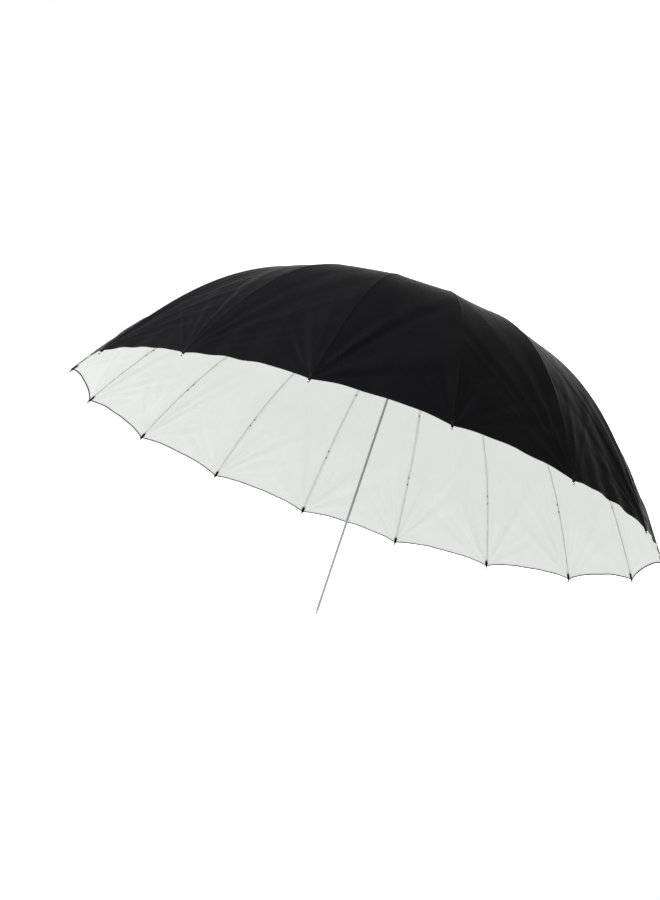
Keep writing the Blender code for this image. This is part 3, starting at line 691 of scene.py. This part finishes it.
def build_rib_end(name, matrix, body):
    """Nickelled sleeve and ball on the rib's end, and the sewn corner pocket behind them."""
    stops = [(0.0400, 0.0018), (0.0385, 0.0023), (0.0100, 0.0023), (0.0085, 0.0017), (0.0070, 0.0015),
             (0.0062, 0.0021)]
    for i in range(1, 8):
        angle = pi * i / 8.0
        stops.append((BALL_RADIUS * (1.0 + cos(angle)), BALL_RADIUS * sin(angle)))
    end = round_rod([(RIB_LENGTH - back, size) for back, size in stops])
    mesh = mesh_of(f"rib_end_{name}", [end], matrix)
    piece(f"rib_end_{name}", mesh, body, (CHROME,))
    pocket = [(0.0345, 0.0034, 0.0028), (0.0335, 0.0054, 0.0038), (0.0250, 0.0052, 0.0038),
              (0.0150, 0.0044, 0.0038), (0.0095, 0.0038, 0.0036), (0.0088, 0.0030, 0.0028)]
    sleeve = rod([(RIB_LENGTH - back, half, thick) for back, half, thick in pocket], 20, lift=0.0011)
    mesh = mesh_of(f"corner_pocket_{name}", [sleeve], matrix)
    piece(f"corner_pocket_{name}", mesh, body, (WEBBING,))


def build_ties(name, matrix, body, shift):
    """Thread loops that hold the rod against the seam."""
    parts = []
    for share in TIE_SHARES:
        for offset in (-THREAD_PITCH, 0.0, THREAD_PITCH):
            distance = share * RIB_LENGTH + offset
            loop = []
            for i in range(14):
                a = tau * i / 14
                wire = []
                for j in range(6):
                    b = tau * j / 6
                    reach = THREAD_LOOP + THREAD_RADIUS * cos(b)
                    radius, height, slope = on_rib(distance + THREAD_RADIUS * sin(b), 0.0006)
                    rise = reach * sin(a)
                    wire.append((shift(distance) + reach * cos(a), height + rise * cos(slope),
                                 radius + rise * sin(slope)))
                loop.append(wire)
            parts.append(loft(loop, closed=True))
    mesh = mesh_of(f"rib_ties_{name}", parts, matrix)
    piece(f"rib_ties_{name}", mesh, body, (THREAD,))


# ----------------------------------------------------------------------------------------- struts
def runner_wire_y():
    low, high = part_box("runner_crown")
    return 0.5 * (low[1] + high[1]) + WIRE_ABOVE_MIDDLE


def build_strut(number):
    """Folded steel channel with a fork and rivet at the rib and a flattened eye at the runner."""
    name = f"{number:02d}"
    matrix = turn_matrix(number)
    start = Vector((STRUT_JOINT[2], STRUT_JOINT[1]))
    end = Vector((PIVOT_RADIUS, runner_wire_y()))
    run = end - start
    length = run.length
    direction = run / length
    side = Vector((direction.y, -direction.x))       # towards the apex

    def to_frame(x, a, b):
        spot = start + direction * a + side * b
        return (x, spot.y, spot.x)

    wide, wall, low, high = 0.0020, 0.00055, -0.0017, 0.0016
    section = [(-wide, high), (-wide, low + 0.0006), (-wide + 0.0006, low), (wide - 0.0006, low),
               (wide, low + 0.0006), (wide, high), (wide - wall, high), (wide - wall, low + wall + 0.0004),
               (wide - wall - 0.0004, low + wall), (-wide + wall + 0.0004, low + wall),
               (-wide + wall, low + wall + 0.0004), (-wide + wall, high)]
    parts = [loft([[to_frame(x, a, b) for x, b in section] for a in (0.0062, length - 0.0125)])]
    ear = arc((0.0, 0.0), EYE_RADIUS, 0.5 * pi, 1.5 * pi, 10)
    ear += [(0.0068, -0.0016), (0.0068, 0.0016)]
    for centre in (-wide + 0.5 * wall, wide - 0.5 * wall):
        parts.append(plate(ear, 0.5 * wall, lambda x, a, b, c=centre: to_frame(x + c, a, b)))
    rivet = ((-0.0022, 0.0022, 0.0007), (-0.0029, -0.0020, 0.0014), (0.0020, 0.0029, 0.0014))
    for low_x, high_x, size in rivet:
        circle = [(size * cos(tau * i / 12), size * sin(tau * i / 12)) for i in range(12)]
        parts.append(loft([[to_frame(x, a, b) for a, b in circle] for x in (low_x, high_x)]))
    tongue = [(length - 0.0150, 0.0012), (length - 0.0150, -0.0012)]
    tongue += arc((length, 0.0), EYE_RADIUS, -0.75 * pi, 0.75 * pi, 12)
    parts.append(ring_plate(tongue, (length, 0.0), WIRE_HOLE, 0.0008, to_frame))
    mesh = mesh_of(f"strut_channel_{name}", parts, matrix)
    item = piece(f"strut_channel_{name}", mesh, f"strut_{name}", (STRUT_STEEL,))
    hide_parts(f"strut_{name}")


# ------------------------------------------------------------------------------ shaft and its parts
def build_shaft():
    low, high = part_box("shaft")
    radius = high[0]
    wall = 0.0008
    outline = [(radius - wall, low[1]), (radius - 0.0003, low[1]), (radius, low[1] + 0.0003),
               (radius, high[1]), (radius - wall, high[1])]
    mesh = mesh_of("shaft_tube", [turned(outline)])
    item = piece("shaft_tube", mesh, "shaft", (STEEL,))
    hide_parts("shaft")

    low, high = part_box("shaft_end_cap")
    outer = high[0]
    start, stop = low[1], high[1]
    outline = [(outer - 0.0012, start), (outer - 0.0004, start + 0.0002), (outer, start + 0.0010),
               (outer, start + 0.0050), (outer - 0.0003, start + 0.0053), (outer, start + 0.0056),
               (outer, stop - 0.0006), (outer - 0.0005, stop), (radius - 0.0002, stop)]
    mesh = mesh_of("end_cap", [turned([(0.0, start)] + outline)])
    item = piece("end_cap", mesh, "shaft", (PALE_NYLON,))
    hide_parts("shaft_end_cap")


def build_apex():
    """Flared ferrule over the shaft's top, and the round patch it clamps."""
    low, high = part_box("top_ferrule")
    base = low[1]
    top = high[1]
    wide = high[0]
    outline = [(0.0045, base), (wide - 0.0010, base), (wide - 0.0002, base + 0.0005), (wide, base + 0.0015)]
    for i in range(1, 9):
        q = i / 8.0
        outline.append((0.0066 + (wide - 0.0066) * (1.0 - q) ** 2.2, base + 0.0018 + 0.012 * q))
    outline += [(0.0064, base + 0.0190), (0.0068, base + 0.0195), (0.0068, base + 0.0215),
                (0.0064, base + 0.0220), (0.0062, top - 0.0030), (0.0056, top - 0.0010),
                (0.0042, top - 0.0001), (0.0040, top), (0.0010, top)]
    mesh = mesh_of("ferrule", [turned(outline)])
    item = piece("ferrule", mesh, "shaft", (BLACK_PLASTIC,))
    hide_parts("top_ferrule")

    low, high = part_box("canopy_top_patch")
    base = low[1]
    top = high[1]
    wide = high[0]
    outline = [(0.0048, base), (wide - 0.0006, base), (wide, base + 0.0003), (wide, top - 0.0002),
               (wide - 0.0030, top), (wide - 0.0034, top - 0.0002), (wide - 0.0038, top), (0.0048, top)]
    mesh = mesh_of("apex_patch", [turned(outline, 96)])
    item = piece("apex_patch", mesh, "shaft", (WEBBING,))
    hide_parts("canopy_top_patch")


def build_runner():
    """Ribbed grip of the runner, and the wire through the strut ends."""
    low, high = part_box("runner_grip")
    bottom = low[1]
    top = high[1]
    flange = high[0]
    outline = [(0.0044, bottom), (flange - 0.0012, bottom), (flange, bottom + 0.0012),
               (flange, bottom + 0.0030), (flange - 0.0010, bottom + 0.0040), (0.0094, bottom + 0.0070)]
    grooves = 9
    first = bottom + 0.0100
    last = top - 0.0080
    step = (last - first) / grooves
    for i in range(grooves):
        y = first + (last - first) * i / grooves
        outline += [(0.0090, y), (0.0084, y + 0.25 * step), (0.0084, y + 0.45 * step),
                    (0.0090, y + 0.70 * step)]
    outline += [(0.0092, last), (0.0092, top - 0.0004), (0.0088, top), (0.0044, top)]
    mesh = mesh_of("grip", [turned(outline)])
    item = piece("grip", mesh, "runner", (BLACK_PLASTIC,))
    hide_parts("runner_grip")

    wire_y = runner_wire_y()
    outline = [(PIVOT_RADIUS + WIRE_RADIUS * cos(tau * i / 10), wire_y + WIRE_RADIUS * sin(tau * i / 10))
               for i in range(10)]
    mesh = mesh_of("runner_wire", [turned(outline, 64)])
    piece("runner_wire", mesh, "runner", (STEEL,))


def dress_cad_nodes():
    """Nodes whose CAD shape is right keep it and get their finished material."""
    finishes = {"hub_notch": BLACK_PLASTIC, "runner_crown": BLACK_PLASTIC, "hub_wire_ring": STEEL,
                "hub_pin": STEEL, "runner_stop_pin": STEEL, "spring_catch": STEEL, "hub_washer": PALE_NYLON}
    for node, made in finishes.items():
        item = frame["nodes"][node]
        for slot in item.material_slots:
            slot.material = made


# --------------------------------------------------------------------------- stage, light, camera
FLOOR_HALF = 60.0
FLOOR_Z = -2.3
BOWL_MIDDLE = Vector((0.0, 0.65, 0.0))


def build_stage():
    floor = bpy.data.meshes.new("floor")
    corners = ((-FLOOR_HALF, -FLOOR_HALF), (FLOOR_HALF, -FLOOR_HALF), (FLOOR_HALF, FLOOR_HALF),
               (-FLOOR_HALF, FLOOR_HALF))
    floor.from_pydata([(x, y, FLOOR_Z) for x, y in corners], [], [(0, 1, 2, 3)])
    made, _, _ = node_material("floor_paper", (0.96, 0.96, 0.96), 0.9)
    floor.materials.append(made)
    item = bpy.data.objects.new("floor", floor)
    bpy.context.scene.collection.objects.link(item)
    world = bpy.data.worlds.new("studio")
    bpy.context.scene.world = world
    world.use_nodes = True
    background = world.node_tree.nodes["Background"]
    background.inputs["Color"].default_value = (1.0, 1.0, 1.0, 1.0)
    background.inputs["Strength"].default_value = 0.96


CAMERA_PLACE = Vector((3.930, -0.607, 2.547))
CAMERA_FORWARD = Vector((-0.8339, 0.2182, -0.5069))
CAMERA_UP = Vector((0.0094, 0.9240, 0.3822))


def camera_axes():
    forward = CAMERA_FORWARD.normalized()
    right = forward.cross(CAMERA_UP).normalized()
    return right, right.cross(forward), forward


def build_camera():
    right, up, forward = camera_axes()
    data = bpy.data.cameras.new("camera")
    data.sensor_width = 36.0
    data.lens = 54.68
    data.clip_end = 200.0
    item = bpy.data.objects.new("camera", data)
    bpy.context.scene.collection.objects.link(item)
    matrix = Matrix((right, up, -forward)).transposed().to_4x4()
    matrix.translation = CAMERA_PLACE
    item.matrix_world = matrix
    bpy.context.scene.camera = item


def soft_light(name, right_by, up_by, back_by, size, power):
    """Large panel placed by the camera's own axes around the bowl's middle, facing it."""
    right, up, forward = camera_axes()
    place = BOWL_MIDDLE + right * right_by + up * up_by - forward * back_by
    data = bpy.data.lights.new(name, "AREA")
    data.shape = "SQUARE"
    data.size = size
    data.energy = power
    item = bpy.data.objects.new(name, data)
    bpy.context.scene.collection.objects.link(item)
    item.location = place
    item.rotation_euler = (BOWL_MIDDLE - place).to_track_quat("-Z", "Y").to_euler()


def build_lights():
    soft_light("key", -2.4, 3.4, 1.0, 1.5, 420.0)
    soft_light("side", 3.6, 2.4, 0.6, 1.2, 25.0)
    data = bpy.data.lights.new("ceiling", "SUN")
    data.energy = 0.35
    data.angle = radians(120.0)
    item = bpy.data.objects.new("ceiling", data)
    bpy.context.scene.collection.objects.link(item)


build_stage()
build_camera()
build_lights()
bpy.context.scene.view_settings.view_transform = "Standard"
build_canopy()
for rib in range(1, RIB_COUNT + 1):
    build_rib(rib)
    build_strut(rib)
build_shaft()
build_apex()
build_runner()
dress_cad_nodes()
